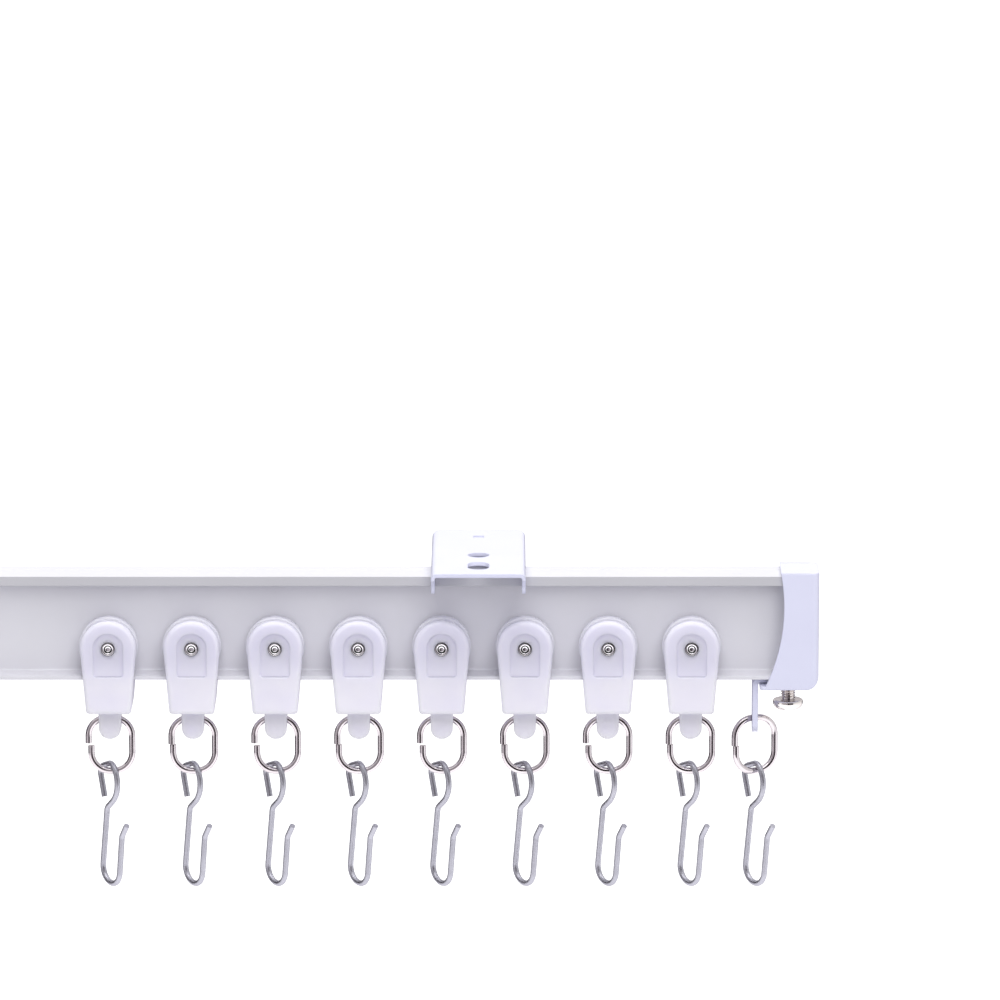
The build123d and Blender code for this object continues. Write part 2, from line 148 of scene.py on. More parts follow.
# %% Metal surface group
metal, metal_in, metal_out = new_group(
    "MetalSkin", {"Scratch": 1400.0, "Stain": 160.0}, ("Tone", "Gloss", "Height"))
upright = stretched_noise(metal, (1.0, 1.0, 0.12), metal_in.outputs["Scratch"], 6.0)
pits = stretched_noise(metal, (1, 1, 1), 3200.0, 2.0)
stain = stretched_noise(metal, (1, 1, 1), metal_in.outputs["Stain"], 4.0)
uneven = maths(metal, "ADD", maths(metal, "MULTIPLY", upright, 0.6), maths(metal, "MULTIPLY", stain, 0.4))
raised = maths(metal, "ADD", upright, maths(metal, "MULTIPLY", pits, 0.5))
metal.links.new(stain, metal_out.inputs["Tone"])
metal.links.new(uneven, metal_out.inputs["Gloss"])
metal.links.new(raised, metal_out.inputs["Height"])
print("group", metal.name)


# %% [markdown]
# ## Soft edges
# No painted or moulded edge is a knife edge. Every piece could be bevelled, but a Bevel node rounds the
# light on all edges at once and leaves the exact shapes alone.

# %% Base of every finish and its masks
RELIEF_REACH = 0.03 * MM


def finish_base(name, dark, light, rough, metallic, group, values, bump, bump_reach=RELIEF_REACH, edge=0.0):
    """A material whose tone, gloss and small relief come from one of the groups."""
    material = bpy.data.materials.new(name)
    material.use_nodes = True
    tree = material.node_tree
    shader = tree.nodes["Principled BSDF"]
    effect = add(tree, "ShaderNodeGroup", node_tree=group)
    for label, value in values.items():
        effect.inputs[label].default_value = value
    tone = add(tree, "ShaderNodeValToRGB")
    tone.color_ramp.elements[0].position = 0.3
    tone.color_ramp.elements[0].color = (*dark, 1)
    tone.color_ramp.elements[1].position = 0.7
    tone.color_ramp.elements[1].color = (*light, 1)
    gloss = add(tree, "ShaderNodeMapRange", From_Min=0.3, From_Max=0.7, To_Min=rough[0], To_Max=rough[1])
    relief = add(tree, "ShaderNodeBump", Strength=bump, Distance=bump_reach)
    tree.links.new(effect.outputs["Tone"], tone.inputs[0])
    tree.links.new(effect.outputs["Gloss"], gloss.inputs["Value"])
    tree.links.new(effect.outputs["Height"], relief.inputs["Height"])
    tree.links.new(tone.outputs[0], shader.inputs["Base Color"])
    tree.links.new(gloss.outputs[0], shader.inputs["Roughness"])
    tree.links.new(relief.outputs[0], shader.inputs["Normal"])
    shader.inputs["Metallic"].default_value = metallic
    if edge:
        soft = add(tree, "ShaderNodeBevel", samples=6, Radius=edge)
        tree.links.new(soft.outputs[0], relief.inputs["Normal"])
    return material, tree, shader, tone, relief


def shaded(tree, colour, mask, amount):
    """The colour, darkened where the mask is one, to the given share."""
    share = add(tree, "ShaderNodeMapRange", To_Min=1.0, To_Max=amount)
    tree.links.new(mask, share.inputs["Value"])
    mix = add(tree, "ShaderNodeMix", data_type="RGBA", blend_type="MULTIPLY")
    mix.inputs[0].default_value = 1.0
    # On a Mix node that is set to colours, these sockets are A, B and the result
    tree.links.new(colour, mix.inputs[6])
    tree.links.new(share.outputs[0], mix.inputs[7])
    return mix.outputs[2]


def own_place(tree):
    """The piece's own coordinates, one socket for each axis."""
    place = add(tree, "ShaderNodeTexCoord")
    parts = add(tree, "ShaderNodeSeparateXYZ")
    tree.links.new(place.outputs["Object"], parts.inputs[0])
    return parts.outputs


def step(tree, value, start, end):
    """A soft step that rises from 0 at start to 1 at end."""
    rise = add(tree, "ShaderNodeMapRange", interpolation_type="SMOOTHSTEP", From_Min=start, From_Max=end)
    tree.links.new(value, rise.inputs["Value"])
    return rise.outputs[0]


# %% [markdown]
# ## The rail's paint
# The rail is pressed through a die, which leaves fine lines along its whole length. The white coat softens
# them but doesn't hide them. The lines are noise, drawn out 250 times along the rail.
# On the two narrow faces of the head the colour is darkened as painted shade, so they look greyer than the
# web.

# %% Rail paint
rail_paint, tree, shader, tone, relief = finish_base(
    "RailPaint", dark=(0.72, 0.712, 0.76), light=(0.76, 0.752, 0.80), rough=(0.34, 0.46), metallic=0.0,
    group=film, values={"Peel": 700.0, "Cloud": 30.0}, bump=0.1, edge=0.25 * MM)
DIE_LINE_STRETCH = (0.004, 1.0, 1.0)
die_lines = stretched_noise(tree, DIE_LINE_STRETCH, 2200.0, 3.0)
film_height = relief.inputs["Height"].links[0].from_socket
height = maths(tree, "ADD", film_height, maths(tree, "MULTIPLY", die_lines, 0.6))
tree.links.new(height, relief.inputs["Height"])
rail_low, rail_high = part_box("rail")
HEAD_DEPTH = 2.5 * MM
# Share of painted shade on the head's two narrow faces
HEAD_FACE_SHADE_SHARE = 0.75
place = own_place(tree)
side = step(tree, maths(tree, "ABSOLUTE", place["Y"], 0.0), rail_high.y - 0.12 * MM, rail_high.y)
head = step(tree, place["Z"], rail_high.z - HEAD_DEPTH - 0.1 * MM, rail_high.z - HEAD_DEPTH)
head_face_shade = maths(tree, "MULTIPLY", side, head)
# Painted shade: the head's narrow faces are darkened in the colour itself
tree.links.new(shaded(tree, tone.outputs[0], head_face_shade, HEAD_FACE_SHADE_SHARE), shader.inputs["Base Color"])
shader.inputs["Coat Weight"].default_value = 0.15
print("material", rail_paint.name)

# %% [markdown]
# ## The enamel on the folded parts
# Bracket, latch, caps and strips are stamped from sheet and dipped, so their coat is thicker, glossier and a
# shade bluer than the rail's. One even coat is enough: its folds show by the light alone.

# %% Sheet enamel
sheet_paint, _, shader, _, _ = finish_base(
    "SheetEnamel", dark=(0.73, 0.735, 0.905), light=(0.76, 0.765, 0.935), rough=(0.3, 0.4), metallic=0.0,
    group=film, values={"Peel": 800.0, "Cloud": 60.0}, bump=0.03, edge=0.5 * MM)
shader.inputs["Coat Weight"].default_value = 0.2
print("material", sheet_paint.name)

# %% [markdown]
# ## Nylon
# Carriers and wheels are moulded from white nylon, which lets some light through. Subsurface scattering
# carries that light. The film group, with values of its own, gives the faint clouds that the melt leaves.
# Higher up the grey rail stands behind the plates and less light would come through, so painted shade darkens
# their colour there, and painted shade darkens it again in the arched recess, where the plate is thinner.

# %% Places of the carriers
CARRIERS = sum(name.startswith("carrier_") and name.endswith("_body") for name in nodes)
first_low, first_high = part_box("carrier_1_body")
FIRST_CARRIER = (first_low.x + first_high.x) / 2
CARRIER_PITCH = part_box("carrier_2_body")[0].x - first_low.x
wheel_low, wheel_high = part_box("carrier_1_wheel_front")
AXLE_HEIGHT = (wheel_low.z + wheel_high.z) / 2
PLATE_FACE = first_high.y
print(CARRIERS, "carriers", round(CARRIER_PITCH / MM, 2), "mm apart, axles at", round(AXLE_HEIGHT / MM, 2))

# %% Nylon for the carriers
RECESS_HALF = 3.95 * MM
RECESS_LOW = 7.6 * MM
ARCH_MIDDLE = 0.25 * MM
# Share of painted shade where the rail stands behind the plates
RAIL_BEHIND_SHADE_SHARE = 0.87
LIGHT_REACH = 3.0 * MM


def from_axle(tree):
    """The piece's own coordinates, measured along and up from the axle of the nearest carrier."""
    place = own_place(tree)
    along = maths(tree, "SUBTRACT", place["X"], FIRST_CARRIER - CARRIER_PITCH / 2)
    along = maths(tree, "SUBTRACT", maths(tree, "FLOORED_MODULO", along, CARRIER_PITCH), CARRIER_PITCH / 2)
    return along, maths(tree, "SUBTRACT", place["Z"], AXLE_HEIGHT), place


def recess_shade_mask(tree):
    """One inside the arched recess of the nearest carrier and zero outside, with a soft rim; it places the
    recess's painted shade.
    """
    along, up, place = from_axle(tree)
    above = maths(tree, "MAXIMUM", maths(tree, "SUBTRACT", up, ARCH_MIDDLE), 0.0)
    squares = maths(tree, "ADD", maths(tree, "MULTIPLY", along, along), maths(tree, "MULTIPLY", above, above))
    arch = step(tree, maths(tree, "SQRT", squares, 0.0), RECESS_HALF + 0.15 * MM, RECESS_HALF - 0.5 * MM)
    foot = step(tree, up, -RECESS_LOW - 0.15 * MM, -RECESS_LOW + 6.0 * MM)
    face = step(tree, maths(tree, "ABSOLUTE", place["Y"], 0.0), PLATE_FACE - 0.8 * MM, PLATE_FACE - 0.5 * MM)
    return maths(tree, "MULTIPLY", maths(tree, "MULTIPLY", arch, foot), face)


def ledge_shade_mask(tree):
    """One on the narrow ledge at the foot of the recess, where painted shade hides the hard line of light
    that it would otherwise catch.
    """
    along, up, place = from_axle(tree)
    off = maths(tree, "ABSOLUTE", maths(tree, "ADD", up, RECESS_LOW), 0.0)
    near = step(tree, off, 0.45 * MM, 0.1 * MM)
    depth = maths(tree, "ABSOLUTE", place["Y"], 0.0)
    behind = step(tree, depth, PLATE_FACE + 0.02 * MM, PLATE_FACE - 0.1 * MM)
    outer = step(tree, depth, PLATE_FACE - 1.2 * MM, PLATE_FACE - 0.9 * MM)
    inside = step(tree, maths(tree, "ABSOLUTE", along, 0.0), RECESS_HALF + 0.2 * MM, RECESS_HALF)
    deep = maths(tree, "MULTIPLY", behind, outer)
    return maths(tree, "MULTIPLY", maths(tree, "MULTIPLY", near, inside), deep)


def nylon(name, dark, light, recess_shade_share=1.0, ledge_shade_share=1.0):
    """A nylon of two close tones. The shares paint shade into it in the recess and on its ledge."""
    material, tree, shader, tone, _ = finish_base(
        name, dark, light, rough=(0.5, 0.62), metallic=0.0, group=film,
        values={"Peel": 420.0, "Cloud": 120.0}, bump=0.03, edge=0.5 * MM)
    # Painted shade: the colour is darker where the rail stands behind the plate
    rail_behind_shade = step(tree, own_place(tree)["Z"], rail_low.z - 2 * MM, rail_low.z + 7 * MM)
    colour = shaded(tree, tone.outputs[0], rail_behind_shade, RAIL_BEHIND_SHADE_SHARE)
    # Painted shade: the colour is darker in the arched recess
    colour = shaded(tree, colour, recess_shade_mask(tree), recess_shade_share)
    # Painted shade on the recess's ledge hides the line of light it catches
    tree.links.new(shaded(tree, colour, ledge_shade_mask(tree), ledge_shade_share), shader.inputs["Base Color"])
    shader.inputs["Subsurface Weight"].default_value = 1.0
    shader.inputs["Specular IOR Level"].default_value = 0.35
    shader.inputs["Subsurface Radius"].default_value = (1.0, 1.0, 1.0)
    shader.inputs["Subsurface Scale"].default_value = LIGHT_REACH
    return material


# The carriers get painted shade in the recess and on its ledge
carrier_nylon = nylon(
    "CarrierNylon", dark=(0.83, 0.81, 0.955), light=(0.865, 0.845, 0.98), recess_shade_share=0.95, ledge_shade_share=0.78)
wheel_nylon = nylon("WheelNylon", dark=(0.82, 0.81, 0.92), light=(0.86, 0.85, 0.95))
print("materials", carrier_nylon.name, wheel_nylon.name)

# %% [markdown]
# ## Plated wire and fasteners
# The rings are nickel plated and bright, the hooks are zinc plated and satin, the rivets are pale nickel and
# the screws a warmer one. All four use the same metal group, with their own values.

# %% Metals
EDGE_TINT = (0.6, 0.57, 0.59, 1)
# Share of painted shade and painted dark reflection on each rivet
RIVET_SHADE_SHARE = 0.12
low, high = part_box("carrier_1_rivets")
RIVET_HEAD = (high.x - low.x) / 2


def plating(name, dark, light, rough, bump):
    """A plated metal. The edge tint keeps its rims from going white where they turn away."""
    material, _, shader, _, _ = finish_base(
        name, dark, light, rough, metallic=1.0, group=metal, values={"Scratch": 1500.0, "Stain": 150.0},
        bump=bump, bump_reach=0.02 * MM)
    shader.inputs["Specular Tint"].default_value = EDGE_TINT
    return material


def rivet_painted_shade(tree, colour):
    """Darkens the seam round each rivet's head and the steep wall of its cup: painted shade in the seam and a
    painted dark reflection on the wall.
    """
    along, up = from_axle(tree)[:2]
    squares = maths(tree, "ADD", maths(tree, "MULTIPLY", along, along), maths(tree, "MULTIPLY", up, up))
    out = maths(tree, "SQRT", squares, 0.0)
    seam = step(tree, out, RIVET_HEAD * 0.84, RIVET_HEAD * 0.92)
    cup = maths(tree, "MULTIPLY", step(tree, out, RIVET_HEAD * 0.36, RIVET_HEAD * 0.46),
                step(tree, out, RIVET_HEAD * 0.62, RIVET_HEAD * 0.54))
    return shaded(tree, colour, maths(tree, "MAXIMUM", seam, cup), RIVET_SHADE_SHARE)


ring_plating = plating(
    "RingNickel", dark=(0.58, 0.53, 0.55), light=(0.68, 0.63, 0.65), rough=(0.06, 0.12), bump=0.01)
hook_steel = plating(
    "HookZinc", dark=(0.41, 0.405, 0.455), light=(0.49, 0.485, 0.54), rough=(0.38, 0.48), bump=0.03)
plated_rivet = plating(
    "RivetNickel", dark=(0.8, 0.78, 0.81), light=(0.92, 0.9, 0.93), rough=(0.12, 0.2), bump=0.03)
plated_screw = plating(
    "ScrewNickel", dark=(0.66, 0.62, 0.60), light=(0.82, 0.78, 0.76), rough=(0.14, 0.24), bump=0.04)
tree = plated_rivet.node_tree
shader = tree.nodes["Principled BSDF"]
tone = shader.inputs["Base Color"].links[0].from_socket
# Painted shade round each rivet's head and a painted dark reflection in its cup
tree.links.new(rivet_painted_shade(tree, tone), shader.inputs["Base Color"])
finishes = {
    "rail_paint": rail_paint, "sheet_paint": sheet_paint, "carrier_nylon": carrier_nylon,
    "wheel_nylon": wheel_nylon, "ring_plating": ring_plating, "hook_steel": hook_steel,
    "plated_rivet": plated_rivet, "plated_screw": plated_screw,
}
print("finishes", sorted(finishes))


# %% Dress every node
def dress(piece, slot):
    """Gives a piece the finish of its slot and nothing else."""
    piece.data.materials.clear()
    piece.data.materials.append(finishes[slot])


for part in frame["record"]["subparts"]:
    dress(nodes[part["node"]], part["material_slot"])

# %% [markdown]
# ## The clamp screws
# Under each cap a small pan-head screw presses the strip against the rail. A plain cylinder would miss its
# most telling detail, the thread. A triangle, carried round and up by a Screw modifier, makes one true helix.
# The screw is modelled once and copied to the other end.

# %% Screw sizes, read from the model
low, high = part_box("clamp_screws")
SCREW_TOP = high.z
HEAD_BOTTOM = low.z
HEAD_RADIUS = (high.y - low.y) / 2
HEAD_HEIGHT = 2.6 * MM
THREAD_RADIUS = 2.0 * MM
THREAD_PITCH = 0.7 * MM
# A metric thread's root lies 0.61 pitches below its crest
ROOT_RADIUS = THREAD_RADIUS - 0.61 * THREAD_PITCH
SCREW_LEFT = low.x + HEAD_RADIUS
SCREW_RIGHT = high.x - HEAD_RADIUS
HEAD_TOP = HEAD_BOTTOM + HEAD_HEIGHT
print("screw from", round(HEAD_BOTTOM / MM, 2), "to", round(SCREW_TOP / MM, 2))
print("head radius", round(HEAD_RADIUS / MM, 2))


# %% Helpers for modelling
def edit(piece):
    """Opens a piece for editing."""
    bpy.context.view_layer.objects.active = piece
    piece.select_set(True)
    bpy.ops.object.mode_set(mode="EDIT")


def leave():
    """Closes the piece that is being edited."""
    bpy.ops.object.mode_set(mode="OBJECT")
    bpy.ops.object.select_all(action="DESELECT")


def pick(piece, wanted, domain="polygons"):
    """Selects the faces, edges or vertices for which wanted(item) is true, and nothing else."""
    bpy.ops.object.mode_set(mode="OBJECT")
    for group in (piece.data.vertices, piece.data.edges, piece.data.polygons):
        for item in group:
            item.select = False
    for item in getattr(piece.data, domain):
        item.select = wanted(item)
    bpy.ops.object.mode_set(mode="EDIT")


def join(pieces, name):
    """Joins the pieces into the first one and puts its place into its mesh."""
    bpy.ops.object.select_all(action="DESELECT")
    for piece in pieces:
        piece.select_set(True)
    bpy.context.view_layer.objects.active = pieces[0]
    bpy.ops.object.join()
    bpy.ops.object.transform_apply(location=True, rotation=True, scale=True)
    pieces[0].name = name
    bpy.ops.object.select_all(action="DESELECT")
    return pieces[0]


def smooth(piece, limit):
    """Smooths the shading over every edge that turns less than the limit, in degrees."""
    bpy.context.view_layer.objects.active = piece
    piece.select_set(True)
    bpy.ops.object.shade_smooth_by_angle(angle=math.radians(limit))
    bpy.ops.object.select_all(action="DESELECT")


def twin(piece, name, shift=0.0):
    """A copy with a mesh of its own, moved along the rail inside that mesh."""
    other = piece.copy()
    other.data = piece.data.copy()
    other.name = name
    bpy.context.collection.objects.link(other)
    for v in other.data.vertices:
        v.co.x += shift
    return other


# %% Screw head
bpy.ops.mesh.primitive_cylinder_add(vertices=48, radius=HEAD_RADIUS, depth=HEAD_HEIGHT,
                                    location=(SCREW_RIGHT, 0, (HEAD_TOP + HEAD_BOTTOM) / 2))
head = bpy.context.object
bpy.ops.object.transform_apply(location=True, rotation=False, scale=False)
edit(head)
bpy.ops.mesh.select_mode(type="EDGE")
pick(head, lambda e: all(head.data.vertices[v].co.z < HEAD_BOTTOM + 0.1 * MM for v in e.vertices), "edges")
bpy.ops.mesh.bevel(offset=HEAD_HEIGHT * 0.7, segments=8, profile=0.5, affect="EDGES")
pick(head, lambda e: all(head.data.vertices[v].co.z > HEAD_TOP - 0.1 * MM for v in e.vertices), "edges")
bpy.ops.mesh.bevel(offset=HEAD_HEIGHT * 0.18, segments=4, profile=0.5, affect="EDGES")
leave()
print("head faces", len(head.data.polygons))

# %% Cross recess in the head
CROSS_WIDTH = 4.4 * MM
CROSS_SLOT = 1.0 * MM
CROSS_DEPTH = 1.6 * MM
CROSS_TAPER = 0.55
blades = []
for size in ((CROSS_WIDTH, CROSS_SLOT), (CROSS_SLOT, CROSS_WIDTH)):
    bpy.ops.mesh.primitive_cube_add(size=1, location=(SCREW_RIGHT, 0, HEAD_BOTTOM))
    blade = bpy.context.object
    blade.scale = (*size, 2 * CROSS_DEPTH)
    bpy.ops.object.transform_apply(location=True, rotation=False, scale=True)
    edit(blade)
    pick(blade, lambda f: f.center.z > HEAD_BOTTOM + 0.1 * MM)
    bpy.ops.transform.resize(value=(CROSS_TAPER, CROSS_TAPER, 1.0))
    leave()
    blades.append(blade)
for blade in blades:
    cut = head.modifiers.new("Recess", "BOOLEAN")
    cut.operation = "DIFFERENCE"
    cut.solver = "EXACT"
    cut.object = blade
    bpy.context.view_layer.objects.active = head
    bpy.ops.object.modifier_apply(modifier=cut.name)
    bpy.data.objects.remove(blade)
print("head with recess", len(head.data.polygons), "faces")

# %% Core of the shank
SHANK_SUNK = 0.4 * MM
bpy.ops.mesh.primitive_cylinder_add(vertices=40, radius=ROOT_RADIUS, depth=SCREW_TOP - HEAD_TOP + SHANK_SUNK,
                                    location=(SCREW_RIGHT, 0, (SCREW_TOP + HEAD_TOP - SHANK_SUNK) / 2))
shank = bpy.context.object
bpy.ops.object.transform_apply(location=True, rotation=False, scale=False)
edit(shank)
bpy.ops.mesh.select_mode(type="EDGE")
pick(shank, lambda e: all(shank.data.vertices[v].co.z > SCREW_TOP - 0.05 * MM for v in e.vertices), "edges")
bpy.ops.mesh.bevel(offset=0.3 * MM, segments=2, profile=0.5, affect="EDGES")
leave()
print("core of", round(2 * ROOT_RADIUS / MM, 2), "mm,", len(shank.data.polygons), "faces")

# %% Thread
TURNS = round((SCREW_TOP - HEAD_TOP) / THREAD_PITCH) - 1
bpy.ops.mesh.primitive_circle_add(vertices=3, radius=THREAD_PITCH * 0.52, rotation=(math.pi / 2, 0, 0),
                                  location=(0, 0, 0))
ridge = bpy.context.object
bpy.ops.object.transform_apply(location=False, rotation=True, scale=False)
# The triangle's point is turned outwards and set at the thread's radius
crest = max(v.co.z for v in ridge.data.vertices)
for v in ridge.data.vertices:
    v.co = (v.co.z - crest + THREAD_RADIUS, 0, v.co.x * 0.9)
sweep = ridge.modifiers.new("Thread", "SCREW")
sweep.axis = "Z"
sweep.angle = 2 * math.pi
sweep.screw_offset = THREAD_PITCH
sweep.iterations = TURNS
sweep.steps = sweep.render_steps = 40
sweep.use_merge_vertices = False
bpy.context.view_layer.objects.active = ridge
bpy.ops.object.modifier_apply(modifier=sweep.name)
edit(ridge)
bpy.ops.mesh.select_all(action="SELECT")
bpy.ops.mesh.remove_doubles(threshold=1e-6)
bpy.ops.mesh.select_mode(type="EDGE")
bpy.ops.mesh.select_all(action="DESELECT")
bpy.ops.mesh.select_non_manifold()
bpy.ops.mesh.fill()
bpy.ops.mesh.select_all(action="SELECT")
bpy.ops.mesh.normals_make_consistent(inside=False)
leave()
ridge.location = (SCREW_RIGHT, 0, HEAD_TOP + THREAD_PITCH / 2)
print("thread of", TURNS, "turns,", len(ridge.data.polygons), "faces")

# %% Join the screw and copy it to the other end
screw_right = join([head, shank, ridge], "clamp_screw_right")
smooth(screw_right, 35)
screw_left = twin(screw_right, "clamp_screw_left", SCREW_LEFT - SCREW_RIGHT)
for screw in (screw_right, screw_left):
    dress(screw, "plated_screw")
    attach(screw, "track")
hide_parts("clamp_screws")
print("screws", screw_right.name, screw_left.name)

# %% [markdown]
# ## The rivets
# Each wheel turns on a rivet whose outer end is cupped and rolled over, and the cup catches the light. A
# flat disc with a hole would only look like a black dot. A cylinder is inset and pushed in for the cup, its
# other side is drawn out into the pin, and the sharp rims are bevelled. One pair is made and copied to each
# carrier.

# %% Rivet sizes, read from the model
low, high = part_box("carrier_1_rivets")
RIVET_PLACE = Vector(((low.x + high.x) / 2, low.y, (low.z + high.z) / 2))
RIVET_HEAD_DEPTH = 0.4 * MM
RIVET_PIN = 1.5 * MM
RIVET_CUP = 1.1 * MM
RIVET_CUP_DEPTH = 0.9 * MM
RIVET_CUP_TAPER = 0.8
RIVET_END = -0.85 * MM
RIVET_CLINCH = 0.3 * MM
print("rivet head radius", round(RIVET_HEAD / MM, 2), "face at", round(RIVET_PLACE.y / MM, 2))


# %% One rivet
def from_axis(point):
    """Distance of a point from the rivet's axis."""
    return math.hypot(point.x - RIVET_PLACE.x, point.z - RIVET_PLACE.z)


def push(distance):
    """Draws the selected face out along the rivet's axis."""
    bpy.ops.mesh.extrude_region_move(TRANSFORM_OT_translate={"value": (0, distance, 0)})


def widen(share):
    """Scales the selected face about the rivet's axis."""
    bpy.ops.transform.resize(value=(share, 1, share))


def on_rim(edge, depth, radius):
    """True for an edge of the round rim at this depth and radius."""
    ends = [rivet.data.vertices[v].co for v in edge.vertices]
    deep = all(abs(point.y - RIVET_PLACE.y - depth) < 0.01 * MM for point in ends)
    return deep and all(abs(from_axis(point) - radius) < 0.05 * MM for point in ends)


bpy.ops.mesh.primitive_cylinder_add(
    vertices=48, radius=RIVET_HEAD, depth=RIVET_HEAD_DEPTH, rotation=(math.pi / 2, 0, 0),
    location=RIVET_PLACE + Vector((0, RIVET_HEAD_DEPTH / 2, 0)))
rivet = bpy.context.object
bpy.ops.object.transform_apply(location=True, rotation=True, scale=True)
edit(rivet)
bpy.ops.mesh.select_mode(type="FACE")
pick(rivet, lambda f: f.normal.y < -0.9)
bpy.ops.mesh.inset(thickness=RIVET_HEAD - RIVET_CUP)
push(RIVET_CUP_DEPTH)
widen(RIVET_CUP_TAPER)
pick(rivet, lambda f: f.normal.y > 0.9)
bpy.ops.mesh.inset(thickness=RIVET_HEAD - RIVET_PIN)
push(RIVET_END - RIVET_CLINCH - RIVET_PLACE.y - RIVET_HEAD_DEPTH)
# The inner end is clinched: a step straight out from the pin, then a short rim
push(0.0)
widen(RIVET_HEAD / RIVET_PIN)
push(RIVET_CLINCH)
bpy.ops.mesh.select_mode(type="EDGE")
rims = (
    (0, RIVET_HEAD, 0.25 * MM, 4),
    (0, RIVET_CUP, 0.3 * MM, 4),
    (RIVET_CUP_DEPTH, RIVET_CUP * RIVET_CUP_TAPER, 0.5 * MM, 6),
)
for depth, radius, reach, segments in rims:
    pick(rivet, lambda e: on_rim(e, depth, radius), "edges")
    bpy.ops.mesh.bevel(offset=reach, segments=segments, profile=0.5, affect="EDGES")
leave()
smooth(rivet, 40)
print("rivet faces", len(rivet.data.polygons))

# %% A pair of rivets for each carrier
opposite = twin(rivet, "rivet_opposite")
# The second rivet is the first one, turned half round the carrier's upright axis
for v in opposite.data.vertices:
    v.co = (2 * RIVET_PLACE.x - v.co.x, -v.co.y, v.co.z)
rivet_pair = join([rivet, opposite], "rivet_pair_1")
dress(rivet_pair, "plated_rivet")
pairs = [rivet_pair]
for index in range(1, CARRIERS):
    pairs.append(twin(rivet_pair, f"rivet_pair_{index + 1}", index * CARRIER_PITCH))
for number, pair in enumerate(pairs, 1):
    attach(pair, f"carrier_{number}")
    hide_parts(f"carrier_{number}_rivets")
print("rivet pairs", len(pairs))

# %% [markdown]
# ## The hooks
# Each hook is one length of zinc plated wire, bent over pins: a loop round the ring, a neck, a long shank and
# a leg that turns up. It could be a curve with free handles, but a wire bender makes bends of a true radius.
# So a line is drawn through the corners, each corner is rounded with a vertex bevel, and only then does the
# line get the wire's thickness. One hook is made, hung so that its weight lies under the ring, and copied.

# %% Hook sizes
HOOK_WIRE = 1.55 * MM
HOOK_TURN = math.radians(-55)
RING_WIRE = 1.7 * MM
ring_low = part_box("carrier_1_ring")[0]
RING_BOTTOM = Vector((FIRST_CARRIER, 0, ring_low.z + RING_WIRE / 2))
BEND_STEPS = 14
# Millimetres across and up from the ring's wire to each corner, and the radius of the bend there
HOOK_BENDS = (
    (-3.2, -7.75, 0.0),  # free end
    (-5.6, 0.05, 2.4),  # loop, on the free end's side
    (0.65, 2.35, 2.0),  # top of the loop, over the ring
    (6.0, -4.05, 6.7),  # loop, on the neck's side
    (-1.95, -10.55, 2.0),  # neck
    (-4.85, -30.5, 4.05),  # foot of the shank
    (3.5, -31.4, 4.05),  # foot of the leg
    (5.25, -17.1, 2.0),  # where the leg turns outwards
    (7.7, -13.55, 0.0),  # tip
)
corners = [Vector((across, 0, up)) * MM for across, up, _ in HOOK_BENDS]
print("hook hangs from", [round(v / MM, 2) for v in RING_BOTTOM])

# %% One hook
bpy.ops.mesh.primitive_plane_add(size=1 * MM, location=corners[0])
hook = bpy.context.object
bpy.ops.object.transform_apply(location=True, rotation=False, scale=False)
edit(hook)
bpy.ops.mesh.select_mode(type="VERT")
bpy.ops.mesh.select_all(action="SELECT")
bpy.ops.mesh.merge(type="CENTER")
for here, there in zip(corners, corners[1:]):
    bpy.ops.mesh.extrude_region_move(TRANSFORM_OT_translate={"value": there - here})
for number in range(1, len(corners) - 1):
    before, corner, after = corners[number - 1:number + 2]
    turn = (corner - before).angle(after - corner)
    reach = HOOK_BENDS[number][2] * MM * math.tan(turn / 2)
    pick(hook, lambda v: (v.co - corner).length < 0.01 * MM, "vertices")
    bpy.ops.mesh.bevel(offset=reach, offset_type="ABSOLUTE", segments=BEND_STEPS, affect="VERTICES")
leave()
print("line of the hook", len(hook.data.vertices), "points")

# %% Thickness of the wire
bpy.context.view_layer.objects.active = hook
hook.select_set(True)
bpy.ops.object.convert(target="CURVE")
hook.data.dimensions = "3D"
hook.data.fill_mode = "FULL"
hook.data.bevel_depth = HOOK_WIRE / 2
hook.data.bevel_resolution = 4
hook.data.use_fill_caps = True
bpy.ops.object.convert(target="MESH")
hook.rotation_euler = (0, 0, HOOK_TURN)
hook.location = RING_BOTTOM
bpy.ops.object.transform_apply(location=True, rotation=True, scale=True)
edit(hook)
bpy.ops.mesh.select_all(action="SELECT")
bpy.ops.mesh.remove_doubles(threshold=1e-6)
bpy.ops.mesh.normals_make_consistent(inside=False)
leave()
smooth(hook, 40)
dress(hook, "hook_steel")
heights = [v.co.z / MM for v in hook.data.vertices]
print("hook from", round(min(heights), 2), "to", round(max(heights), 2), "faces", len(hook.data.polygons))

# %% A hook for every ring
hangers = [(f"carrier_{n}_ring", f"carrier_{n}_hook", f"hook_{n}") for n in range(1, CARRIERS + 1)]
hangers += [(f"end_ring_{side}", f"end_hook_{side}", f"end_hook_{side}") for side in ("left", "right")]
hook.name = f"wire_{hangers[0][2]}"
wire_hooks = [hook]
for ring, node, body in hangers[1:]:
    wire_hooks.append(twin(hook, f"wire_{body}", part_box(ring)[0].x - ring_low.x))
for piece, (ring, node, body) in zip(wire_hooks, hangers):
    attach(piece, body)
    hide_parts(node)
print("hooks", len(wire_hooks))

# %% [markdown]
# ## Floor and light
# The picture's background is plain white. The floor lies well below the hooks and is white to the camera and
# to reflections, but it is lit like any pale floor for everything else, so it still takes the shadow.
# One large soft lamp hangs straight above and lights the tops. Another stands in front and a little lower,
# so that the head and the bracket throw a soft shade on the web and the rail's foot catches a bright line.


# %% Floor
def seen_directly(tree):
    """One for what the camera and the reflections see, zero for the light that falls on things."""
    path = add(tree, "ShaderNodeLightPath")
    bounced = maths(tree, "MAXIMUM", path.outputs["Is Glossy Ray"], path.outputs["Is Transmission Ray"])
    return maths(tree, "MAXIMUM", path.outputs["Is Camera Ray"], bounced)


